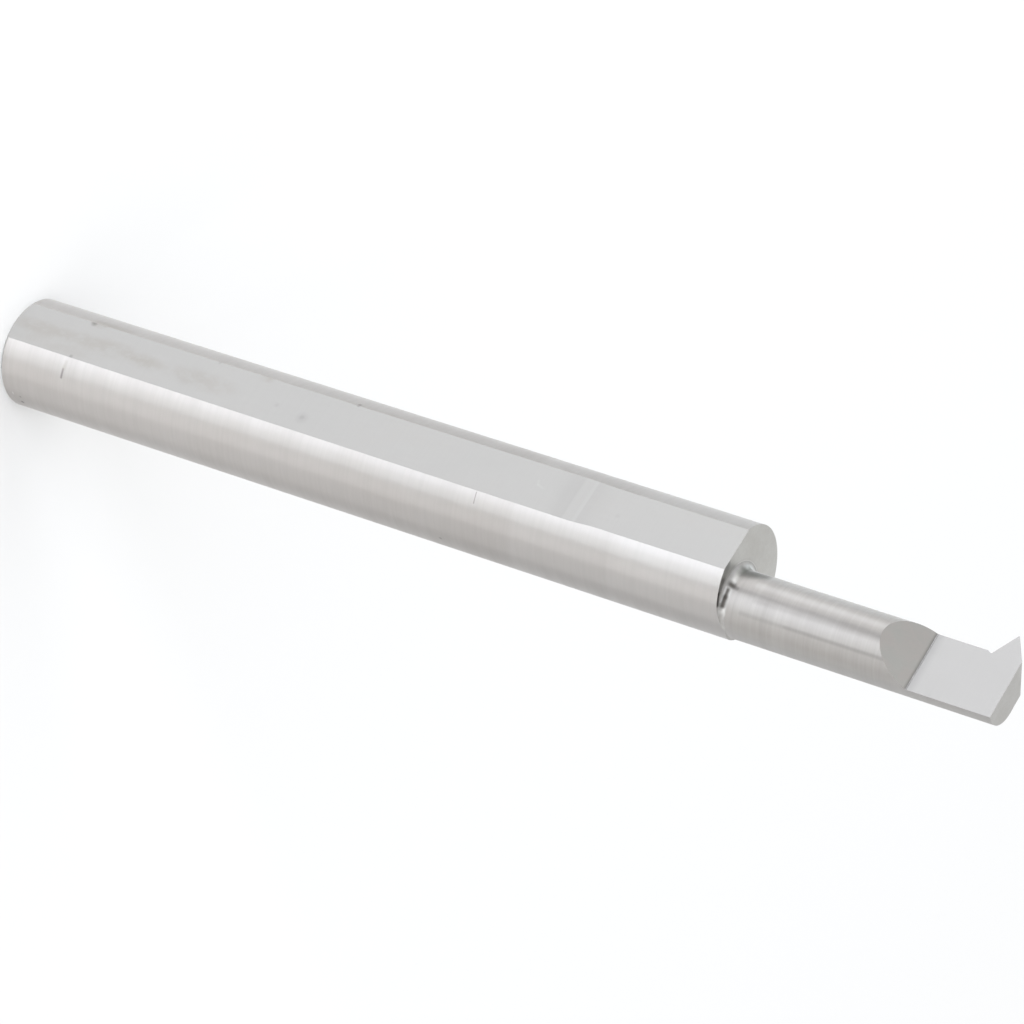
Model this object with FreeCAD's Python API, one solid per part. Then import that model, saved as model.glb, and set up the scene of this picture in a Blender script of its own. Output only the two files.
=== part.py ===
"""Internal threading tool: a round bar with a clamping flat, a thin offset neck and one 60 degree tooth.

The whole tool is ground from one solid carbide bar, so it is one solid.
It is first built as it sits in a holder: +X runs from the shank to the cutting end,
the flat and the rake face look up (+Z), the tooth points sideways (+Y), and the origin is on the
shank's axis, in the plane of the shoulder. A round bar rolls when it lies down, so the tool is then
stood on its square rear end: +Z up along the bar, the flat and the rake face towards the front (-Y),
the tooth to the left (-X) and the origin in the middle of the rear end. All sizes are in millimetres.
"""
import FreeCAD
import Part
import math
import os

# Shank
overall_length = 63.5
reach = 15.875
shank_diameter = 6.35
rear_chamfer = 0.3
rear_chamfer_crown = 0.02

# Clamping flat: depths below the shank's round top, ground in two settings that meet in a short ramp
flat_depth_rear = 0.29
flat_depth_at_ramp = 0.343
flat_depth_front = 0.308
ramp_start = 9.6
ramp_length = 1.6

# Neck: thinner than the shank, and moved sideways until it is almost flush with it on the -Y side
neck_diameter = 3.73
neck_inset = 0.02
neck_drop = 0.13
neck_root_radius = 0.4

# Rake face: ground down to the height of the shank's axis, with a sloping run-out behind it
rake_length = 4.84
runout_angle = 41.8
runout_corner_radius = 0.15

# Tooth: a 60 degree point beside the neck, relieved below its cutting edges
tip_offset = 1.92
tip_setback = 0.828
tip_flat = 0.06
thread_angle = 60.0
flank_relief_angle = 11.8
front_clearance_angle = 1.0
head_lift = 0.02

# Notch that the wheel leaves at the root of the trailing flank
notch_depth = 0.095
notch_width = 0.1
notch_rear_angle = 31.0

# What the sizes above lead to
shank_radius = shank_diameter / 2
shank_length = overall_length - reach
neck_radius = neck_diameter / 2
neck_side = -(shank_radius - neck_radius - neck_inset)
neck_far_side = neck_side + math.sqrt(neck_radius ** 2 - neck_drop ** 2)
rake_height = 0.0
rake_foot = reach - rake_length
head_bottom = -neck_drop - neck_radius + head_lift
half_thread_angle = math.radians(thread_angle / 2)
tip_x = reach - tip_setback
sharp_tip = tip_offset + tip_flat / 2 / math.tan(half_thread_angle)
notch_floor = neck_far_side - notch_depth
relief_per_depth = math.tan(math.radians(flank_relief_angle)) / math.sin(half_thread_angle)

# How far cutters and blanks run past what they cut
past = 1.0

X_AXIS = FreeCAD.Vector(1, 0, 0)
Y_AXIS = FreeCAD.Vector(0, 1, 0)
Z_AXIS = FreeCAD.Vector(0, 0, 1)
ORIGIN = FreeCAD.Vector(0, 0, 0)


def face_from_points(points):
    """Flat face inside a closed outline of straight edges."""
    return Part.Face(Part.makePolygon(points + points[:1]))


def revolved(outline, centre):
    """Solid made by turning a face about an axis along X through the centre."""
    return outline.revolve(centre, X_AXIS, 360)


def make_bar():
    """Round bar, a little too long in front. The chamfer at its rear end is slightly crowned, as it is tumbled."""
    front = reach + past
    inner = FreeCAD.Vector(-shank_length, 0, shank_radius - rear_chamfer)
    outer = FreeCAD.Vector(-shank_length + rear_chamfer, 0, shank_radius)
    outwards = FreeCAD.Vector(-1, 0, 1).normalize()
    chamfer = Part.Arc(inner, (inner + outer) / 2 + outwards * rear_chamfer_crown, outer).toShape()
    straight = Part.makePolygon([
        outer,
        FreeCAD.Vector(front, 0, shank_radius),
        FreeCAD.Vector(front, 0, 0),
        FreeCAD.Vector(-shank_length, 0, 0),
        inner,
    ])
    return revolved(Part.Face(Part.Wire([chamfer] + straight.Edges)), ORIGIN)


def make_flat_cutter():
    """What is ground off the top of the shank: a slight slope, a short ramp and a level stretch."""
    above = shank_radius + past
    side_view = face_from_points([
        FreeCAD.Vector(-shank_length - past, -shank_radius - past, shank_radius - flat_depth_rear),
        FreeCAD.Vector(-shank_length, -shank_radius - past, shank_radius - flat_depth_rear),
        FreeCAD.Vector(-ramp_start, -shank_radius - past, shank_radius - flat_depth_at_ramp),
        FreeCAD.Vector(-ramp_start + ramp_length, -shank_radius - past, shank_radius - flat_depth_front),
        FreeCAD.Vector(past, -shank_radius - past, shank_radius - flat_depth_front),
        FreeCAD.Vector(past, -shank_radius - past, above),
        FreeCAD.Vector(-shank_length - past, -shank_radius - past, above),
    ])
    return side_view.extrude(Y_AXIS * 2 * (shank_radius + past))


def make_neck():
    """Thin neck that flares where it meets the shoulder."""
    centre = FreeCAD.Vector(0, neck_side, -neck_drop)
    front = reach + 3 * past
    rim = neck_radius + neck_root_radius
    middle = math.radians(225)
    arc_centre = FreeCAD.Vector(neck_root_radius, rim, 0)
    on_arc = arc_centre + FreeCAD.Vector(math.cos(middle), math.sin(middle), 0) * neck_root_radius
    flare = Part.Arc(
        centre + FreeCAD.Vector(0, rim, 0),
        centre + on_arc,
        centre + FreeCAD.Vector(neck_root_radius, neck_radius, 0),
    ).toShape()
    straight = Part.makePolygon([
        centre + FreeCAD.Vector(neck_root_radius, neck_radius, 0),
        centre + FreeCAD.Vector(front, neck_radius, 0),
        centre + FreeCAD.Vector(front, 0, 0),
        centre,
        centre + FreeCAD.Vector(0, rim, 0),
    ])
    return revolved(Part.Face(Part.Wire([flare] + straight.Edges)), centre)


def make_tooth_blank():
    """Block beside the neck that the tooth is ground from."""
    rear = tip_x - (sharp_tip - notch_floor) * math.tan(half_thread_angle) - notch_width / 2
    corner = FreeCAD.Vector(rear, neck_side, head_bottom)
    width = tip_offset + past - neck_side
    return Part.makeBox(reach + 3 * past - rear, width, past - head_bottom, corner)


def make_neck_cutter():
    """What is ground off in front of the shoulder, round the neck and the block for the tooth."""
    around = Part.makeCylinder(shank_radius + past, reach + 2 * past, ORIGIN, X_AXIS)
    return around.cut(make_neck().fuse(make_tooth_blank()))


def make_form_cutter():
    """What the profiled wheel grinds off: everything outside the tooth's outline, at the relief angle."""
    outside = tip_offset + 2 * past
    front = reach + 2 * past
    root = tip_x - (sharp_tip - notch_floor) * math.tan(half_thread_angle)
    notch_rear = root - notch_width
    run_out = (outside - notch_floor) / math.tan(math.radians(notch_rear_angle))
    top = rake_height + past
    outline = [
        (notch_rear - run_out, outside),
        (notch_rear, notch_floor),
        (root, notch_floor),
        (tip_x - tip_flat / 2, tip_offset),
        (tip_x + tip_flat / 2, tip_offset),
        (front, sharp_tip - (front - tip_x) / math.tan(half_thread_angle)),
        (front, outside),
    ]
    shift_at_top = relief_per_depth * past
    points = [FreeCAD.Vector(x, y + shift_at_top, top) for x, y in outline]
    depth = top - head_bottom + past
    return face_from_points(points).extrude(FreeCAD.Vector(0, -relief_per_depth * depth, -depth))


def make_rake_cutter():
    """What is ground off above the rake face, with the wheel's corner and its sloping run-out."""
    side = -shank_radius - past
    top = rake_height + 2 * shank_radius
    run_out = (top - rake_height) / math.tan(math.radians(runout_angle))
    foot = FreeCAD.Vector(rake_foot, side, rake_height)
    side_view = face_from_points([
        foot,
        FreeCAD.Vector(reach + 2 * past, side, rake_height),
        FreeCAD.Vector(reach + 2 * past, side, top),
        FreeCAD.Vector(rake_foot - run_out, side, top),
    ])
    cutter = side_view.extrude(Y_AXIS * 2 * (shank_radius + past))
    corner = [edge for edge in cutter.Edges
              if all(v.Point.distanceToPoint(FreeCAD.Vector(foot.x, v.Point.y, foot.z)) < 1e-6
                     for v in edge.Vertexes)]
    return cutter.makeFillet(runout_corner_radius, corner)


def make_front_cutter():
    """What is ground off the front end: a plane through the rake face's front edge, leaning back below it."""
    size = 4 * shank_radius
    corner = FreeCAD.Vector(reach, -size / 2, rake_height - size / 2)
    cutter = Part.makeBox(size, size, size, corner)
    cutter.rotate(FreeCAD.Vector(reach, 0, rake_height), Y_AXIS, front_clearance_angle)
    return cutter


def make_threading_bar():
    """The whole tool, as it sits in a holder, ground step by step from the bar."""
    tool = make_bar()
    cutters = (
        make_neck_cutter(),
        make_form_cutter(),
        make_rake_cutter(),
        make_front_cutter(),
        make_flat_cutter(),
    )
    for cutter in cutters:
        tool = tool.cut(cutter)
    return tool.removeSplitter()


def stand_up(bar):
    """Turns the tool from its place in the holder to stand on its rear end, with the flat in front."""
    bar.rotate(ORIGIN, Y_AXIS, -90)
    bar.rotate(ORIGIN, Z_AXIS, 90)
    bar.translate(Z_AXIS * shank_length)


def main():
    os.makedirs("parts", exist_ok=True)
    shape = make_threading_bar()
    if len(shape.Solids) != 1 or not shape.isValid():
        raise RuntimeError("the tool is not one valid solid")
    bar = shape.Solids[0]
    stand_up(bar)
    bar.exportStep("parts/threading_bar.step")


main()
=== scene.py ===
"""Looks of the internal threading tool: its forms again but finer, ground metal, a floor and soft light."""
import bpy
import bmesh
import math
from mathutils import Matrix, Vector


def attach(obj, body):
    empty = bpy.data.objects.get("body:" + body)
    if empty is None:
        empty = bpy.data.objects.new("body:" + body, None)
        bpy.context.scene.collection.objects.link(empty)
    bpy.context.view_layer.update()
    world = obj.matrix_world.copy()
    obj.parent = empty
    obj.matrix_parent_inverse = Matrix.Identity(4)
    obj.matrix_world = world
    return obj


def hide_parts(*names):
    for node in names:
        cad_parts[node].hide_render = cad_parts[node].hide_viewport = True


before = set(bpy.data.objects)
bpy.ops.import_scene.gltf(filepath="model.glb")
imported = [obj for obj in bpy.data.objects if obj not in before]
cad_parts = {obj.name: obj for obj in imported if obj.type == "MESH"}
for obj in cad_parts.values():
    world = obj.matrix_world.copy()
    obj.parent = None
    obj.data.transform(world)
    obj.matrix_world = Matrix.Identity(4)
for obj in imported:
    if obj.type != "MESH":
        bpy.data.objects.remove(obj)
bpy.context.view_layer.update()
scene = bpy.context.scene

# Sizes in millimetres, in the frame of a tool in its holder: +X to the cutting end, +Z out of the flat,
# +Y to the tooth, origin in the plane of the shoulder
shank_radius = 3.175
shank_length = 47.625
reach = 15.875
rear_chamfer = 0.3
rear_chamfer_crown = 0.02
flat_depth_rear = 0.29
flat_depth_at_ramp = 0.343
flat_depth_front = 0.308
ramp_start = 9.6
ramp_length = 1.6
neck_radius = 1.865
neck_side = -1.29
neck_drop = 0.13
neck_root_radius = 0.4
rake_foot = 11.035
runout_angle = 41.8
runout_corner_radius = 0.15
tip_offset = 1.92
tip_x = 15.047
tip_flat = 0.06
thread_angle = 60.0
flank_relief_angle = 11.8
front_clearance_angle = 1.0
head_bottom = -1.975
notch_depth = 0.095
notch_width = 0.1
notch_rear_angle = 31.0

half_thread_angle = math.radians(thread_angle / 2)
sharp_tip = tip_offset + tip_flat / 2 / math.tan(half_thread_angle)
notch_floor = neck_side + math.sqrt(neck_radius ** 2 - neck_drop ** 2) - notch_depth
tooth_root = tip_x - (sharp_tip - notch_floor) * math.tan(half_thread_angle)
relief_per_depth = math.tan(math.radians(flank_relief_angle)) / math.sin(half_thread_angle)

# How far a cutter goes past what it cuts
past = 1.0

# Facets of the round forms
bar_segments = 320
neck_segments = 224
cutter_segments = 48
chamfer_steps = 6
root_steps = 16
corner_steps = 8

# What tells the surfaces apart: distances in millimetres, and shares of a face's normal
plane_gap = 0.001
bar_gap = 0.002
neck_gap = 0.004
deepest_flat = 0.5
corner_top = 0.045
corner_length = 0.1
facing = 0.999
level = 0.9999
least_slope = 0.02
steepest_slope = 0.7
ramp_lean = 0.01

# Edges under this angle are shaded as one round, and shorter ones than this are dropped
crease = math.radians(14)
shortest_edge = 1e-5

# From that frame to the standing tool: x becomes Z, y becomes -X, z becomes -Y, in metres from the rear end
STAND = Matrix((
    (0, -0.001, 0, 0),
    (0, 0, -0.001, 0),
    (0.001, 0, 0, shank_length / 1000),
    (0, 0, 0, 1),
))


def link(name, data):
    """New object for a mesh, lamp or camera, in the scene."""
    obj = bpy.data.objects.new(name, data)
    scene.collection.objects.link(obj)
    return obj


def mesh_object(name, verts, faces):
    """New object from points and faces, with its faces turned outwards."""
    mesh = bpy.data.meshes.new(name)
    mesh.from_pydata(verts, [], faces)
    bm = bmesh.new()
    bm.from_mesh(mesh)
    bmesh.ops.recalc_face_normals(bm, faces=bm.faces)
    bm.to_mesh(mesh)
    bm.free()
    return link(name, mesh)


def turned(name, profile, centre_y, centre_z, segments):
    """Solid turned about an axis along X: the profile's (x, radius) points run from one end to the other."""
    verts, faces = [], []
    for x, radius in profile:
        for k in range(segments):
            angle = 2 * math.pi * (k + 0.5) / segments
            verts.append((x, centre_y + radius * math.cos(angle), centre_z + radius * math.sin(angle)))
    for i in range(len(profile) - 1):
        for k in range(segments):
            a, b = i * segments + k, i * segments + (k + 1) % segments
            faces.append((a, b, b + segments, a + segments))
    last = (len(profile) - 1) * segments
    faces.append(tuple(range(segments)))
    faces.append(tuple(range(last, last + segments)))
    return mesh_object(name, verts, faces)


def prism(name, outline, along):
    """Solid between a flat outline of 3-D points and the same outline moved along a vector."""
    n = len(outline)
    verts = [Vector(p) for p in outline] + [Vector(p) + Vector(along) for p in outline]
    faces = [tuple(range(n)), tuple(range(n, 2 * n))]
    faces += [(i, (i + 1) % n, n + (i + 1) % n, n + i) for i in range(n)]
    return mesh_object(name, verts, faces)


def crosswise(name, outline):
    """Prism across the whole bar, over an outline of (x, z) points."""
    side = shank_radius + past
    return prism(name, [(x, -side, z) for x, z in outline], (0, 2 * side, 0))


def combine(target, other, operation):
    """Joins or cuts the target with another solid, and removes that solid."""
    modifier = target.modifiers.new("cut", "BOOLEAN")
    modifier.operation = operation
    modifier.solver = "EXACT"
    modifier.object = other
    depsgraph = bpy.context.evaluated_depsgraph_get()
    mesh = bpy.data.meshes.new_from_object(target.evaluated_get(depsgraph))
    target.modifiers.clear()
    target.data = mesh
    bpy.data.objects.remove(other)


def make_bar():
    """Round bar with its crowned rear chamfer, a little too long in front."""
    half = rear_chamfer * math.sqrt(2) / 2
    arc_radius = (half ** 2 + rear_chamfer_crown ** 2) / 2 / rear_chamfer_crown
    sweep = math.asin(half / arc_radius)
    middle_x = -shank_length + rear_chamfer / 2
    middle_r = shank_radius - rear_chamfer / 2
    back = (arc_radius - rear_chamfer_crown) / math.sqrt(2)
    profile = []
    for k in range(chamfer_steps + 1):
        angle = math.radians(135) + sweep * (1 - 2 * k / chamfer_steps)
        profile.append((middle_x + back + arc_radius * math.cos(angle),
                        middle_r - back + arc_radius * math.sin(angle)))
    profile.append((reach + past, shank_radius))
    return turned("bar", profile, 0, 0, bar_segments)


def make_neck_cutter():
    """What is ground off in front of the shoulder, round the flared neck and the block for the tooth."""
    front = reach + 3 * past
    around = [(0, shank_radius + past), (reach + 2 * past, shank_radius + past)]
    cutter = turned("around", around, 0, 0, cutter_segments)
    profile = [(-past, neck_radius + neck_root_radius)]
    for k in range(root_steps + 1):
        angle = math.pi + math.pi / 2 * k / root_steps
        profile.append((neck_root_radius + neck_root_radius * math.cos(angle),
                        neck_radius + neck_root_radius + neck_root_radius * math.sin(angle)))
    profile.append((front, neck_radius))
    neck = turned("neck", profile, neck_side, -neck_drop, neck_segments)
    rear = tooth_root - notch_width / 2
    block = prism("block", [
        (rear, neck_side, head_bottom),
        (front, neck_side, head_bottom),
        (front, neck_side, past),
        (rear, neck_side, past),
    ], (0, tip_offset + past - neck_side, 0))
    combine(neck, block, "UNION")
    combine(cutter, neck, "DIFFERENCE")
    return cutter


def make_form_cutter():
    """What the profiled wheel grinds off: everything outside the tooth's outline, at the relief angle."""
    outside = tip_offset + 2 * past
    front = reach + 2 * past
    notch_rear = tooth_root - notch_width
    run_out = (outside - notch_floor) / math.tan(math.radians(notch_rear_angle))
    outline = [
        (notch_rear - run_out, outside),
        (notch_rear, notch_floor),
        (tooth_root, notch_floor),
        (tip_x - tip_flat / 2, tip_offset),
        (tip_x + tip_flat / 2, tip_offset),
        (front, sharp_tip - (front - tip_x) / math.tan(half_thread_angle)),
        (front, outside),
    ]
    depth = past - head_bottom + past
    points = [(x, y + relief_per_depth * past, past) for x, y in outline]
    return prism("form", points, (0, -relief_per_depth * depth, -depth))


def make_rake_cutter():
    """What is ground off above the rake face, with the wheel's corner and its sloping run-out."""
    slope = math.radians(180 - runout_angle)
    top = 2 * shank_radius
    tangent = runout_corner_radius / math.tan(slope / 2)
    outline = [(reach + 2 * past, 0.0)]
    for k in range(corner_steps + 1):
        angle = math.radians(-90) - math.radians(runout_angle) * k / corner_steps
        outline.append((rake_foot + tangent + runout_corner_radius * math.cos(angle),
                        runout_corner_radius + runout_corner_radius * math.sin(angle)))
    outline.append((rake_foot - top / math.tan(math.radians(runout_angle)), top))
    outline.append((reach + 2 * past, top))
    return crosswise("rake", outline)


def make_front_cutter():
    """What is ground off the front end: a plane through the rake face's front edge, leaning back below it."""
    lean = math.tan(math.radians(front_clearance_angle))
    size = shank_radius + past
    return crosswise("front", [
        (reach + lean * size, size),
        (reach - lean * size, -size),
        (reach + size, -size),
        (reach + size, size),
    ])


def make_flat_cutter():
    """What is ground off the top of the shank: a slight slope, a short ramp and a level stretch."""
    above = shank_radius + past
    return crosswise("flat", [
        (-shank_length - past, shank_radius - flat_depth_rear),
        (-shank_length, shank_radius - flat_depth_rear),
        (-ramp_start, shank_radius - flat_depth_at_ramp),
        (-ramp_start + ramp_length, shank_radius - flat_depth_front),
        (past, shank_radius - flat_depth_front),
        (past, above),
        (-shank_length - past, above),
    ])


SURFACES = ("round", "chamfer", "end", "flat", "ramp", "shoulder", "root", "neck", "slope", "corner", "rake",
            "front", "flank")

# Neighbours that run into each other without an edge
SMOOTH_PAIRS = [{SURFACES.index(a), SURFACES.index(b)}
                for a, b in (("slope", "corner"), ("corner", "rake"), ("root", "neck"))]


def surface_of(centre, normal):
    """Which of the tool's surfaces a face belongs to."""
    x, y, z = centre
    from_axis = math.hypot(y, z)
    from_neck = math.hypot(y - neck_side, z + neck_drop)
    if x < -shank_length + plane_gap:
        return "end"
    if x < -shank_length + rear_chamfer - plane_gap and normal.z < facing:
        return "chamfer"
    if normal.z > facing and z > shank_radius - deepest_flat:
        return "ramp" if normal.x < -ramp_lean else "flat"
    if x < plane_gap and normal.x > facing:
        return "shoulder"
    if from_axis > shank_radius - bar_gap:
        return "round"
    if x < neck_root_radius:
        return "root"
    if normal.z > level and abs(z) < plane_gap:
        return "rake"
    if normal.x > least_slope and normal.z > steepest_slope and x < rake_foot + corner_length:
        return "slope" if z > corner_top else "corner"
    if normal.x > facing:
        return "front"
    if abs(from_neck - neck_radius) < neck_gap:
        return "neck"
    return "flank"


def make_tool():
    """The tool's forms as one closed mesh on its rear end, with a material slot for each surface."""
    tool = make_bar()
    for make in (make_neck_cutter, make_form_cutter, make_rake_cutter, make_front_cutter, make_flat_cutter):
        combine(tool, make(), "DIFFERENCE")
    tool.name = "ground_threading_bar"
    bm = bmesh.new()
    bm.from_mesh(tool.data)
    bmesh.ops.dissolve_degenerate(bm, dist=shortest_edge, edges=bm.edges)
    bm.normal_update()
    for face in bm.faces:
        face.material_index = SURFACES.index(surface_of(face.calc_center_median(), face.normal))
        face.smooth = True
    for edge in bm.edges:
        indices = {face.material_index for face in edge.link_faces}
        rounded = len(indices) == 1 and edge.calc_face_angle(0) < crease
        edge.smooth = rounded or indices in SMOOTH_PAIRS
    bmesh.ops.transform(bm, matrix=STAND, verts=bm.verts)
    bm.to_mesh(tool.data)
    bm.free()
    return tool


class Shader:
    """Small helper that adds and links the nodes of one material."""

    def __init__(self, name):
        self.material = bpy.data.materials.new(name)
        self.material.use_nodes = True
        self.nodes = self.material.node_tree.nodes
        self.links = self.material.node_tree.links
        self.bsdf = self.nodes["Principled BSDF"]
        coordinates = self.nodes.new("ShaderNodeTexCoord")
        self.place = self.vector("SCALE", coordinates.outputs["Object"], scale=1000)

    def put(self, value, socket):
        """Links a socket, or writes a plain value."""
        if isinstance(value, bpy.types.NodeSocket):
            self.links.new(value, socket)
        else:
            socket.default_value = value

    def vector(self, operation, a, b=None, scale=None):
        """Result of one vector operation."""
        node = self.nodes.new("ShaderNodeVectorMath")
        node.operation = operation
        self.put(a, node.inputs[0])
        if b is not None:
            self.put(b, node.inputs[1])
        if scale is not None:
            self.put(scale, node.inputs["Scale"])
        return node.outputs["Value" if operation in ("LENGTH", "DOT_PRODUCT") else "Vector"]

    def math(self, operation, a, b=0.0, clamp=False):
        """Result of one operation on numbers."""
        node = self.nodes.new("ShaderNodeMath")
        node.operation = operation
        node.use_clamp = clamp
        self.put(a, node.inputs[0])
        self.put(b, node.inputs[1])
        return node.outputs[0]

    def noise(self, stretch, detail=2.0, roughness=0.5, shift=(0, 0, 0)):
        """Noise over the place in millimetres, with so many features per millimetre along X, Y and Z."""
        node = self.nodes.new("ShaderNodeTexNoise")
        moved = self.vector("ADD", self.vector("MULTIPLY", self.place, stretch), shift)
        self.links.new(moved, node.inputs["Vector"])
        node.inputs["Scale"].default_value = 1.0
        node.inputs["Detail"].default_value = detail
        node.inputs["Roughness"].default_value = roughness
        return node.outputs["Fac"]

    def ramp(self, value, low, high, out_low=0.0, out_high=1.0):
        """Smooth step from one result to another, as a value goes from low to high."""
        node = self.nodes.new("ShaderNodeMapRange")
        node.interpolation_type = "SMOOTHSTEP"
        self.put(value, node.inputs["Value"])
        numbers = {"From Min": low, "From Max": high, "To Min": out_low, "To Max": out_high}
        for name, number in numbers.items():
            node.inputs[name].default_value = number
        return node.outputs["Result"]

    def mix(self, factor, a, b):
        """Colour a, turning into b as the factor goes to 1."""
        node = self.nodes.new("ShaderNodeMix")
        node.data_type = "RGBA"
        self.put(factor, node.inputs["Factor"])
        for socket, value in zip([s for s in node.inputs if s.type == "RGBA"], (a, b)):
            self.put((*value, 1) if isinstance(value, tuple) else value, socket)
        return [s for s in node.outputs if s.type == "RGBA"][0]

    def spot(self, centre, size, soft=0.5):
        """1 inside an ellipsoid about a place in millimetres, fading to 0 outside it."""
        away = self.vector("DIVIDE", self.vector("SUBTRACT", self.place, centre), size)
        return self.ramp(self.vector("LENGTH", away), 1 - soft, 1 + soft, 1.0, 0.0)

    def streak(self, start, end, width, soft=0.5):
        """1 along a line between two places in millimetres, fading to 0 beside it."""
        along = Vector(end) - Vector(start)
        away = self.vector("SUBTRACT", self.place, start)
        passed = self.vector("DOT_PRODUCT", away, tuple(along / along.length_squared))
        share = self.math("MULTIPLY", passed, 1.0, True)
        beside = self.vector("SUBTRACT", away, self.vector("SCALE", tuple(along), scale=share))
        return self.ramp(self.vector("LENGTH", beside), width * (1 - soft), width * (1 + soft), 1.0, 0.0)

    def ring(self, centre_x, centre_y, radius, width, soft=0.5):
        """1 at a radius about a line along Z, fading to 0 inside and outside it."""
        from_centre = self.vector("SUBTRACT", self.place, (centre_x, centre_y, 0))
        across = self.vector("MULTIPLY", from_centre, (1, 1, 0))
        away = self.math("ABSOLUTE", self.math("SUBTRACT", self.vector("LENGTH", across), radius))
        return self.ramp(away, width * (1 - soft), width * (1 + soft), 1.0, 0.0)

    def height_step(self, low, high):
        """0 below a height in millimetres above the rear end, 1 above another."""
        parts = self.nodes.new("ShaderNodeSeparateXYZ")
        self.links.new(self.place, parts.inputs[0])
        return self.ramp(parts.outputs["Z"], low, high)

    def stain(self, colour, tint, strength, mask):
        """Colour, tinted where the mask is 1 by so much."""
        return self.mix(self.math("MULTIPLY", mask, strength), colour, tint)

    def streaks(self, colour, marks):
        """Colour with lines on it: tint, strength, start, end, width and softness of each."""
        for tint, strength, start, end, width, soft in marks:
            colour = self.stain(colour, tint, strength, self.streak(start, end, width, soft))
        return colour

    def specks(self, colour, marks):
        """Colour with round specks on it: tint, strength, centre, radius and softness of each."""
        for tint, strength, centre, radius, soft in marks:
            colour = self.stain(colour, tint, strength, self.spot(centre, (radius, radius, radius), soft))
        return colour

    def finish(self, colour, roughness, height, depth, anisotropic, rotation, metallic=1.0):
        """Ground metal: colour, roughness, a height that the light catches, and the lines' direction."""
        self.put(colour, self.bsdf.inputs["Base Color"])
        self.put(roughness, self.bsdf.inputs["Roughness"])
        self.bsdf.inputs["Metallic"].default_value = metallic
        self.bsdf.inputs["Anisotropic"].default_value = anisotropic
        self.bsdf.inputs["Anisotropic Rotation"].default_value = rotation
        tangent = self.nodes.new("ShaderNodeTangent")
        tangent.direction_type = "RADIAL"
        tangent.axis = "Z"
        self.links.new(tangent.outputs["Tangent"], self.bsdf.inputs["Tangent"])
        bump = self.nodes.new("ShaderNodeBump")
        bump.inputs["Strength"].default_value = 1.0
        bump.inputs["Distance"].default_value = depth
        self.links.new(height, bump.inputs["Height"])
        self.links.new(bump.outputs["Normal"], self.bsdf.inputs["Normal"])
        return self.material


# Dark tint: real specks and marks, and also painted shade along the neck, round the root, beside the flat's
# ramp, on the shoulder and at the slope's foot
DIRT_AND_PAINTED_SHADE = (0.05, 0.045, 0.04)
# Painted shade in the hollow of the root, between the shoulder and the neck
ROOT_HOLLOW_SHADE = (0.08, 0.08, 0.07)
SCRATCH = (0.07, 0.045, 0.06)
SMUDGE = (0.35, 0.325, 0.29)
FLAT_SMUDGE = (0.25, 0.23, 0.203)
# Pale tint: a faint light mark on the flat, and elsewhere painted highlights and reflections
SCUFF_AND_PAINTED_SHEEN = (0.72, 0.72, 0.72)

# Lines on the surfaces: tint, strength, start and end in millimetres on the standing tool, width, softness
BAR_STREAKS = (
    (SCRATCH, 0.5, (1.99, -2.49, 4.53), (2.34, -2.15, 4.5), 0.065, 0.9),
    (SMUDGE, 0.4, (1.62, -2.73, 4.62), (1.95, -2.5, 4.56), 0.1, 0.9),
    (DIRT_AND_PAINTED_SHADE, 0.4, (1.5, -2.8, 32.3), (2.0, -2.46, 32.32), 0.035, 0.5),
)
# Painted light and shade along the neck: light and dark lines standing in for reflections in the ground neck
NECK_LIGHT_AND_SHADE_LINES = (
    (SCUFF_AND_PAINTED_SHEEN, 0.3, (3.11, 0.5, 48.0), (3.11, 0.5, 63.6), 0.6, 0.9),
    (SCUFF_AND_PAINTED_SHEEN, 0.12, (0.98, -1.71, 49.2), (0.97, -1.71, 57.0), 0.18, 0.9),
    (DIRT_AND_PAINTED_SHADE, 0.13, (1.58, -1.73, 48.0), (1.69, -1.7, 57.0), 0.11, 1.0),
    (DIRT_AND_PAINTED_SHADE, 0.06, (1.49, -1.72, 52.5), (1.57, -1.72, 57.0), 0.13, 1.0),
    (DIRT_AND_PAINTED_SHADE, 0.06, (1.52, -1.72, 54.5), (1.57, -1.72, 57.0), 0.13, 1.0),
    (DIRT_AND_PAINTED_SHADE, 0.12, (1.88, -1.64, 49.5), (1.79, -1.67, 57.0), 0.12, 1.0),
    (DIRT_AND_PAINTED_SHADE, 0.12, (2.59, -1.2, 48.9), (2.57, -1.23, 58.0), 0.1, 1.0),
    (DIRT_AND_PAINTED_SHADE, 0.11, (2.58, -1.21, 51.5), (2.57, -1.23, 58.0), 0.08, 0.9),
)
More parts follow.
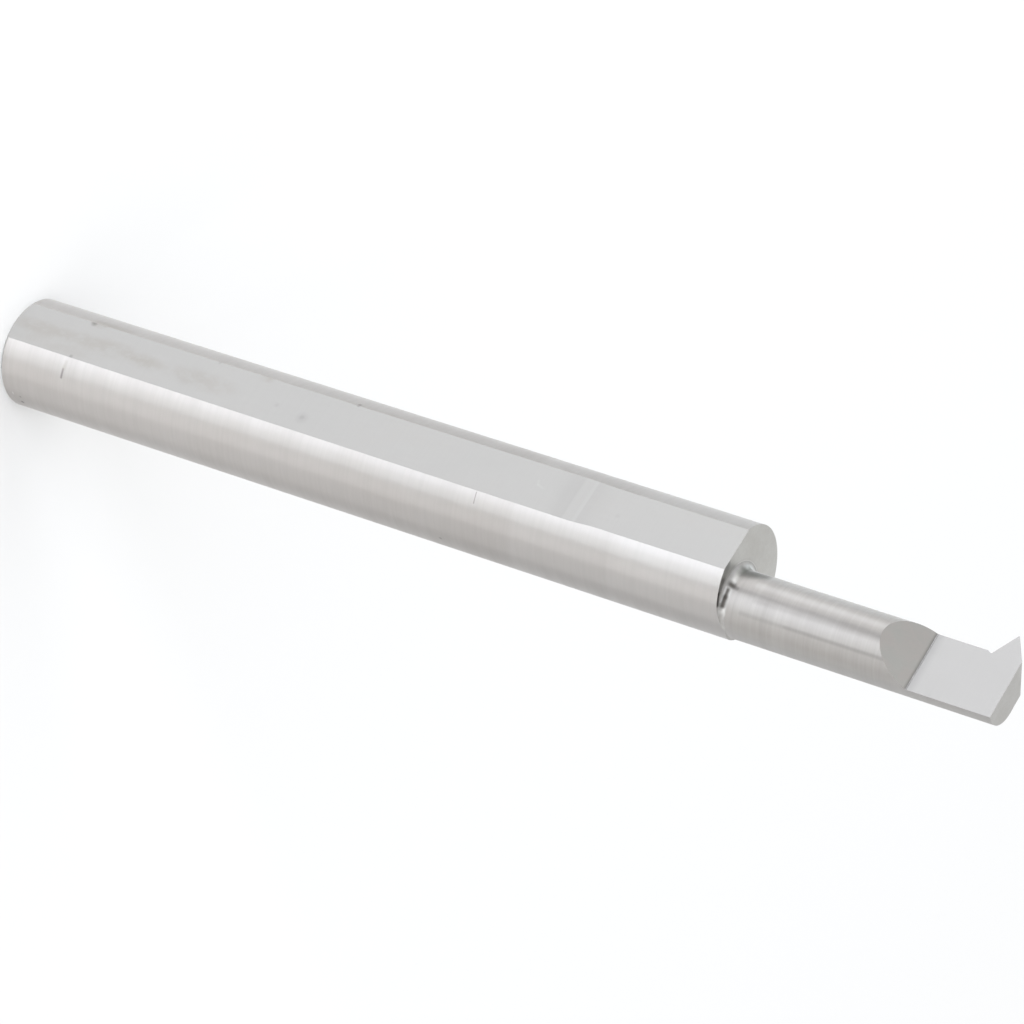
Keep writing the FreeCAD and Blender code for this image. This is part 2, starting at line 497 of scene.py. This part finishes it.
# Painted shade and light round the root: dark crescents and patches in the hollow, and light lines between
# them
ROOT_SHADE_AND_SHEEN_LINES = (
    (DIRT_AND_PAINTED_SHADE, 0.36, (1.0, -2.74, 47.62), (1.5, -2.45, 47.62), 0.22, 0.8),
    (DIRT_AND_PAINTED_SHADE, 0.5, (1.75, -2.36, 47.62), (2.3, -1.98, 47.62), 0.16, 0.8),
    (DIRT_AND_PAINTED_SHADE, 0.85, (2.36, -1.98, 47.62), (2.74, -1.46, 47.62), 0.1, 0.8),
    (DIRT_AND_PAINTED_SHADE, 0.9, (1.8, -1.73, 47.84), (2.2, -1.57, 47.83), 0.1, 0.9),
    (DIRT_AND_PAINTED_SHADE, 0.93, (2.2, -1.57, 47.83), (2.56, -1.31, 47.82), 0.14, 0.8),
    (DIRT_AND_PAINTED_SHADE, 0.9, (1.47, -1.77, 47.84), (1.49, -1.76, 47.92), 0.17, 0.9),
    (DIRT_AND_PAINTED_SHADE, 0.4, (1.49, -1.76, 47.9), (1.56, -1.72, 48.25), 0.1, 0.9),
    (DIRT_AND_PAINTED_SHADE, 0.12, (0.95, -1.82, 47.8), (1.2, -1.8, 47.86), 0.25, 0.9),
    (DIRT_AND_PAINTED_SHADE, 0.25, (2.64, -1.28, 47.8), (2.76, -1.18, 47.8), 0.08, 0.9),
    (DIRT_AND_PAINTED_SHADE, 0.22, (2.95, -0.9, 47.85), (3.1, -0.4, 47.85), 0.15, 0.9),
    (ROOT_HOLLOW_SHADE, 0.62, (0.3, -1.4, 48.0), (0.1, -1.28, 49.0), 0.38, 0.8),
    (ROOT_HOLLOW_SHADE, 0.4, (0.62, -1.6, 47.95), (0.3, -1.46, 48.5), 0.36, 0.8),
    (ROOT_HOLLOW_SHADE, 0.25, (0.5, -1.58, 47.95), (0.15, -1.4, 47.88), 0.2, 0.8),
    (ROOT_HOLLOW_SHADE, 0.5, (0.15, -1.4, 47.86), (-0.3, -0.9, 47.9), 0.2, 0.8),
    (ROOT_HOLLOW_SHADE, 0.25, (-0.25, -1.2, 47.72), (-0.6, -0.7, 47.72), 0.16, 0.8),
    (SCUFF_AND_PAINTED_SHEEN, 0.15, (0.8, -1.98, 47.67), (0.15, -1.8, 47.67), 0.2, 0.9),
    (SCUFF_AND_PAINTED_SHEEN, 0.15, (2.85, -1.14, 47.7), (3.0, -0.93, 47.7), 0.06, 0.9),
    (SCUFF_AND_PAINTED_SHEEN, 0.25, (1.75, -1.84, 47.72), (2.5, -1.5, 47.7), 0.05, 0.8),
)
FLAT_STREAKS = (
    (SCUFF_AND_PAINTED_SHEEN, 0.04, (-0.1, -2.84, 35.3), (-0.35, -2.84, 35.2), 0.06, 0.9),
    (SCUFF_AND_PAINTED_SHEEN, 0.04, (-0.1, -2.84, 35.3), (0.02, -2.84, 35.65), 0.06, 0.9),
)

# Specks: tint, strength, centre, radius, softness
BAR_SPECKS = (
    (DIRT_AND_PAINTED_SHADE, 0.75, (3.13, 0.5, 1.22), 0.1, 0.5),
    (DIRT_AND_PAINTED_SHADE, 0.4, (3.16, -0.05, 1.3), 0.07, 0.5),
    (DIRT_AND_PAINTED_SHADE, 0.4, (3.16, 0.22, 30.1), 0.09, 0.5),
    (DIRT_AND_PAINTED_SHADE, 0.4, (-1.5, -2.8, 22.88), 0.1, 0.5),
)
FLAT_SPECKS = (
    (DIRT_AND_PAINTED_SHADE, 0.45, (-1.3, -2.88, 4.73), 0.16, 0.8),
    (DIRT_AND_PAINTED_SHADE, 0.28, (1.24, -2.88, 4.74), 0.1, 0.8),
    (DIRT_AND_PAINTED_SHADE, 0.15, (-1.3, -2.87, 13.52), 0.08, 0.8),
    (DIRT_AND_PAINTED_SHADE, 0.1, (0.46, -2.86, 20.23), 0.3, 0.8),
    (DIRT_AND_PAINTED_SHADE, 0.12, (0.42, -2.86, 20.2), 0.12, 0.8),
    (DIRT_AND_PAINTED_SHADE, 0.09, (0.16, -2.86, 18.35), 0.13, 0.8),
    (DIRT_AND_PAINTED_SHADE, 0.5, (-1.42, -2.85, 22.86), 0.09, 0.8),
    (DIRT_AND_PAINTED_SHADE, 0.06, (0.26, -2.87, 40.5), 0.12, 0.8),
)

# Brownish stains on the flat: strength, centre, half sizes along X, Y and Z
FLAT_STAINS = (
    (0.4, (0.05, -2.88, 1.9), (0.45, 0.5, 1.9)),
    (0.4, (0.0, -2.88, 6.6), (0.5, 0.5, 2.9)),
    (0.3, (0.15, -2.87, 9.2), (0.4, 0.5, 1.1)),
    (0.34, (0.15, -2.87, 12.9), (0.55, 0.5, 2.2)),
    (0.7, (-1.3, -2.87, 5.1), (0.2, 0.3, 0.5)),
    (0.4, (-1.3, -2.86, 16.8), (0.25, 0.3, 0.35)),
    (0.2, (0.9, -2.87, 3.2), (0.4, 0.4, 2.6)),
)

# Painted light and shade: faint bands beside and on the flat's ramp, standing in for its reflection: tint,
# strength, and the heights where each rises and falls
RAMP_LIGHT_AND_SHADE_BANDS = (
    (SCUFF_AND_PAINTED_SHEEN, 0.03, (38.15, 38.3), (38.4, 38.46)),
    (DIRT_AND_PAINTED_SHADE, 0.035, (38.44, 38.5), (38.55, 39.4)),
    (DIRT_AND_PAINTED_SHADE, 0.065, (36.2, 37.45), (37.55, 37.75)),
)


def round_grain(s, lines, base, warm, shade):
    """Colour, height and slow waves of a surface that was ground round, with so many lines a millimetre."""
    fine = s.noise((0.25, 0.25, lines), 2.0, 0.6)
    medium = s.noise((0.06, 0.06, lines / 4), 2.0, 0.5, (3, 1, 7))
    cloud = s.noise((0.22, 0.22, 0.13), 3.0, 0.55, (5, 2, 0))
    colour = s.mix(s.ramp(cloud, 0.35, 0.65), base, warm)
    grain = s.math("ADD", s.math("MULTIPLY", fine, 0.75), s.math("MULTIPLY", medium, 0.25))
    colour = s.mix(s.ramp(fine, 0.35, 0.65, 0.0, shade), colour, (0.2, 0.19, 0.18))
    return colour, grain, medium


def cross_grain(s, base, tint):
    """Colour, height and clouds of a face with faint lines across the bar."""
    fine = s.noise((0.1, 0.1, 10), 3.0, 0.6, (2, 0, 0))
    cloud = s.noise((0.6, 0.6, 0.28), 4.0, 0.6, (1, 4, 2))
    colour = s.mix(s.ramp(cloud, 0.4, 0.7, 0.0, 0.6), base, tint)
    colour = s.mix(s.ramp(fine, 0.35, 0.65, 0.0, 0.05), colour, (0.25, 0.25, 0.25))
    return colour, fine, cloud


def even_grain(s, base, tint, stretch):
    """Colour, height and clouds of a face with a fine even grain."""
    fine = s.noise(stretch, 4.0, 0.6, (0, 3, 1))
    cloud = s.noise((1.1, 1.1, 0.8), 3.0, 0.55, (8, 0, 3))
    colour = s.mix(s.ramp(cloud, 0.35, 0.65), base, tint)
    colour = s.mix(s.ramp(fine, 0.35, 0.65, 0.0, 0.08), colour, (0.2, 0.2, 0.19))
    return colour, fine, cloud


def bar_material():
    """Ground outside of the bar: lines round it, painted shade growing toward the cutting end, two faint
    steps in tone painted as light, a scratch, smudges, a few specks and a painted glint.
    """
    s = Shader("ground_round")
    colour, grain, medium = round_grain(s, 6, (0.5, 0.48, 0.465), (0.49, 0.467, 0.45), 0.06)
    # Painted shade: the bar darkens by a quarter from the rear end toward the cutting end, for how the light
    # falls along it
    colour = s.mix(s.height_step(-10, 60), colour, s.vector("SCALE", colour, scale=0.75))
    # Painted light: two faint lighter steps along the bar
    for low, high in ((34.5, 34.8), (40.7, 41.0)):
        colour = s.stain(colour, SCUFF_AND_PAINTED_SHEEN, 0.05, s.height_step(low, high))
    colour = s.streaks(colour, BAR_STREAKS)
    colour = s.stain(colour, SMUDGE, 0.3, s.spot((-1.5, -2.8, 5.8), (0.25, 0.3, 1.2), 0.7))
    colour = s.specks(colour, BAR_SPECKS)
    # Painted glint: a small light spot near the rear end
    colour = s.stain(colour, SCUFF_AND_PAINTED_SHEEN, 0.5, s.spot((3.17, -0.19, 0.82), (0.08, 0.12, 0.06)))
    rough = s.ramp(medium, 0.3, 0.7, 0.34, 0.4)
    return s.finish(colour, rough, grain, depth=7e-7, anisotropic=0.92, rotation=0.25)


def neck_material():
    """Ground neck: finer lines round it, thin lines of painted light and shade along it, and the root's
    painted shade and highlights.
    """
    s = Shader("ground_neck")
    colour, grain, medium = round_grain(s, 6.5, (0.375, 0.36, 0.346), (0.365, 0.349, 0.332), 0.1)
    colour = s.streaks(s.streaks(colour, NECK_LIGHT_AND_SHADE_LINES), ROOT_SHADE_AND_SHEEN_LINES)
    rough = s.ramp(medium, 0.3, 0.7, 0.57, 0.63)
    return s.finish(colour, rough, grain, depth=9e-7, anisotropic=0.88, rotation=0.25, metallic=0.87)


def root_material():
    """Flare between the shoulder and the neck, with painted shade and painted highlights on it."""
    s = Shader("ground_root")
    cloud = s.noise((2.0, 2.0, 2.0), 3.0, 0.6, (0, 7, 3))
    fine = s.noise((2.0, 2.0, 14.0), 2.0, 0.5)
    colour = s.mix(s.ramp(cloud, 0.35, 0.65), (0.4, 0.392, 0.38), (0.37, 0.36, 0.345))
    colour = s.streaks(colour, ROOT_SHADE_AND_SHEEN_LINES)
    rough = s.ramp(cloud, 0.3, 0.7, 0.56, 0.64)
    return s.finish(colour, rough, fine, depth=5e-7, anisotropic=0.3, rotation=0.25)


def shoulder_material():
    """Ground shoulder, with a painted light ring and a painted dark ring at the rim of the root, and the
    root's painted shade and highlights beside it.
    """
    s = Shader("ground_shoulder")
    colour, fine, cloud = even_grain(s, (0.51, 0.507, 0.487), (0.5, 0.493, 0.472), (10, 10, 4))
    # Painted highlight and shade: a light ring at the root's rim and a dark ring just outside it
    colour = s.stain(colour, SCUFF_AND_PAINTED_SHEEN, 0.25, s.ring(-neck_side, neck_drop, 2.27, 0.04, 0.8))
    colour = s.stain(colour, DIRT_AND_PAINTED_SHADE, 0.06, s.ring(-neck_side, neck_drop, 2.36, 0.05, 0.8))
    colour = s.streaks(colour, ROOT_SHADE_AND_SHEEN_LINES)
    rough = s.ramp(cloud, 0.3, 0.7, 0.38, 0.46)
    return s.finish(colour, rough, fine, depth=1e-6, anisotropic=0.3, rotation=0.0)


def flat_material():
    """Surface-ground flat: faint lines across the bar, brownish stains near the rear end, specks, painted
    light and shade bands by the ramp, and painted light toward the rear end.
    """
    s = Shader("ground_flat")
    colour, fine, cloud = cross_grain(s, (0.328, 0.321, 0.312), (0.316, 0.307, 0.296))
    broken = s.ramp(s.noise((1.6, 1.6, 1.1), 3.0, 0.6, (3, 3, 8)), 0.3, 0.62, 0.25, 1.0)
    for strength, centre, size in FLAT_STAINS:
        mask = s.math("MULTIPLY", s.spot(centre, size, 0.6), broken)
        colour = s.stain(colour, FLAT_SMUDGE, strength, mask)
    colour = s.streaks(s.specks(colour, FLAT_SPECKS), FLAT_STREAKS)
    for tint, strength, rise, fall in RAMP_LIGHT_AND_SHADE_BANDS:
        band = s.math("SUBTRACT", s.height_step(*rise), s.height_step(*fall))
        colour = s.stain(colour, tint, strength, band)
    # Painted light: the flat is a little lighter toward the rear end and darker toward the cutting end
    lighter, darker = (s.vector("SCALE", colour, scale=share) for share in (1.02, 0.98))
    colour = s.mix(s.height_step(-5, 52), lighter, darker)
    rough = s.ramp(cloud, 0.3, 0.7, 0.38, 0.44)
    return s.finish(colour, rough, fine, depth=3e-7, anisotropic=0.5, rotation=0.25, metallic=0.5)


def rake_material():
    """Ground rake face, with painted shade beside the slope that the wheel left."""
    s = Shader("ground_rake")
    colour, fine, cloud = cross_grain(s, (0.314, 0.307, 0.301), (0.309, 0.301, 0.296))
    # Painted shade: the rake is darker in the crease where it meets the slope
    colour = s.mix(s.height_step(58.7, 59.25), s.mix(0.3, colour, (0.15, 0.15, 0.15)), colour)
    rough = s.ramp(cloud, 0.3, 0.7, 0.38, 0.44)
    return s.finish(colour, rough, fine, depth=3e-7, anisotropic=0.5, rotation=0.25, metallic=0.5)


def face_material(name, base, tint, stretch=(10, 10, 3.5), foot=0.0, metallic=1.0):
    """Ground end face, slope or clearance face, with painted shade at the slope's foot by so much."""
    s = Shader(name)
    colour, fine, cloud = even_grain(s, base, tint, stretch)
    if foot:
        # Painted shade in the crease at the slope's foot
        colour = s.stain(colour, DIRT_AND_PAINTED_SHADE, foot, s.height_step(58.5, 58.64))
    rough = s.ramp(cloud, 0.3, 0.7, 0.4, 0.48)
    return s.finish(colour, rough, fine, depth=1e-6, anisotropic=0.3, rotation=0.0, metallic=metallic)


def make_finishes():
    """Material for each of the tool's surfaces."""
    face = face_material("ground_face", (0.485, 0.48, 0.466), (0.475, 0.468, 0.451))
    flat = flat_material()
    slope_stretch = (12, 12, 4.2)
    return {
        "round": bar_material(),
        "chamfer": face,
        "end": face,
        "flat": flat,
        "ramp": flat,
        "shoulder": shoulder_material(),
        "root": root_material(),
        "neck": neck_material(),
        "slope": face_material("ground_slope", (0.25, 0.235, 0.221), (0.236, 0.231, 0.216), slope_stretch,
                               foot=0.4, metallic=0.5),
        # The corner's dark colour is painted shade in the crease between the slope and the rake
        "corner": face_material("ground_corner", (0.16, 0.156, 0.153), (0.15, 0.147, 0.144), slope_stretch),
        "rake": rake_material(),
        "front": face,
        "flank": face_material("ground_flank", (0.34, 0.335, 0.326), (0.33, 0.325, 0.312)),
    }


def add_floor():
    """Large disc of pale paper."""
    mesh = bpy.data.meshes.new("floor")
    bm = bmesh.new()
    bmesh.ops.create_circle(bm, cap_ends=True, segments=96, radius=6.0)
    bm.to_mesh(mesh)
    bm.free()
    floor = link("floor", mesh)
    paper = Shader("pale_paper")
    paper.bsdf.inputs["Roughness"].default_value = 0.9
    paper.bsdf.inputs["Specular IOR Level"].default_value = 0.0
    paper.put((0.8, 0.796, 0.791, 1), paper.bsdf.inputs["Base Color"])
    floor.data.materials.append(paper.material)


def add_world():
    """Even pale surroundings, a little darker overhead."""
    world = bpy.data.worlds.new("studio")
    scene.world = world
    world.use_nodes = True
    nodes, links = world.node_tree.nodes, world.node_tree.links
    direction = nodes.new("ShaderNodeTexCoord")
    parts = nodes.new("ShaderNodeSeparateXYZ")
    overhead = nodes.new("ShaderNodeMapRange")
    overhead.interpolation_type = "SMOOTHSTEP"
    for socket, number in (("From Min", 0.72), ("From Max", 0.86), ("To Min", 1.0), ("To Max", 0.75)):
        overhead.inputs[socket].default_value = number
    links.new(direction.outputs["Generated"], parts.inputs["Vector"])
    links.new(parts.outputs["Z"], overhead.inputs["Value"])
    links.new(overhead.outputs["Result"], nodes["Background"].inputs["Strength"])
    nodes["Background"].inputs["Color"].default_value = (0.97, 0.97, 0.97, 1)


# Soft boxes round the tool: name, azimuth and half width in degrees, watts for each metre of width, colour
LAMPS = (
    ("key", -73, 20, 21.0, (0.885, 0.93, 1.0)),
    ("key_side", -43, 9, 13.4, (0.92, 0.965, 1.0)),
    ("right", -16, 14, 7.2, (1, 1, 1)),
    ("far_right", 18, 18, 3.2, (1, 1, 1)),
    ("left", -133, 23, 12.0, (0.95, 0.97, 1.0)),
    ("behind", 165, 31, 5.3, (0.85, 0.94, 1.0)),
)
LAMP_DISTANCE = 1.6
LAMP_HEIGHT = 0.56
LAMP_ELEVATION = math.radians(10)
TOOL_MIDDLE = Vector((0, 0, 0.032))


def soft_box(name, azimuth, half_width, power, colour):
    """Wide area lamp just above the floor, that looks at the middle of the tool from a direction."""
    light = bpy.data.lights.new(name, "AREA")
    light.shape = "RECTANGLE"
    light.size = 2 * LAMP_DISTANCE * math.tan(math.radians(half_width))
    light.size_y = LAMP_HEIGHT
    light.energy = power * light.size
    light.color = colour
    lamp = link(name, light)
    turn = math.radians(azimuth)
    level_share = math.cos(LAMP_ELEVATION)
    towards = Vector((math.cos(turn) * level_share, math.sin(turn) * level_share, math.sin(LAMP_ELEVATION)))
    lamp.location = TOOL_MIDDLE + towards * LAMP_DISTANCE
    lamp.rotation_euler = towards.to_track_quat("Z", "Y").to_euler()
    lamp.visible_camera = False


# The photograph's camera: place in metres, and the directions to its right, upwards and back to the viewer
PHOTO_WIDTH = 1024
FOCAL_LENGTH_IN_PIXELS = 4350.3327
SENSOR_WIDTH = 36.0
CAMERA_PLACE = (0.10495859, -0.17912051, 0.14370113)
CAMERA_RIGHT = (-0.49226674, 0.2306605, 0.83932663)
CAMERA_UP = (-0.74808518, -0.60508765, -0.2724656)
CAMERA_BACK = (0.44501912, -0.76201356, 0.47041823)


def add_camera():
    """Camera at the photograph's viewing angle."""
    data = bpy.data.cameras.new("camera")
    data.sensor_width = SENSOR_WIDTH
    data.lens = FOCAL_LENGTH_IN_PIXELS / PHOTO_WIDTH * SENSOR_WIDTH
    data.clip_start = 0.01
    data.clip_end = 50
    camera = link("camera", data)
    rows = zip(CAMERA_RIGHT, CAMERA_UP, CAMERA_BACK, CAMERA_PLACE)
    camera.matrix_world = Matrix((*rows, (0, 0, 0, 1)))
    scene.camera = camera


tool = make_tool()
finishes = make_finishes()
for surface in SURFACES:
    tool.data.materials.append(finishes[surface])
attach(tool, "root")
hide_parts("threading_bar")

add_floor()
add_world()
for lamp in LAMPS:
    soft_box(*lamp)
add_camera()
scene.view_settings.view_transform = "Standard"
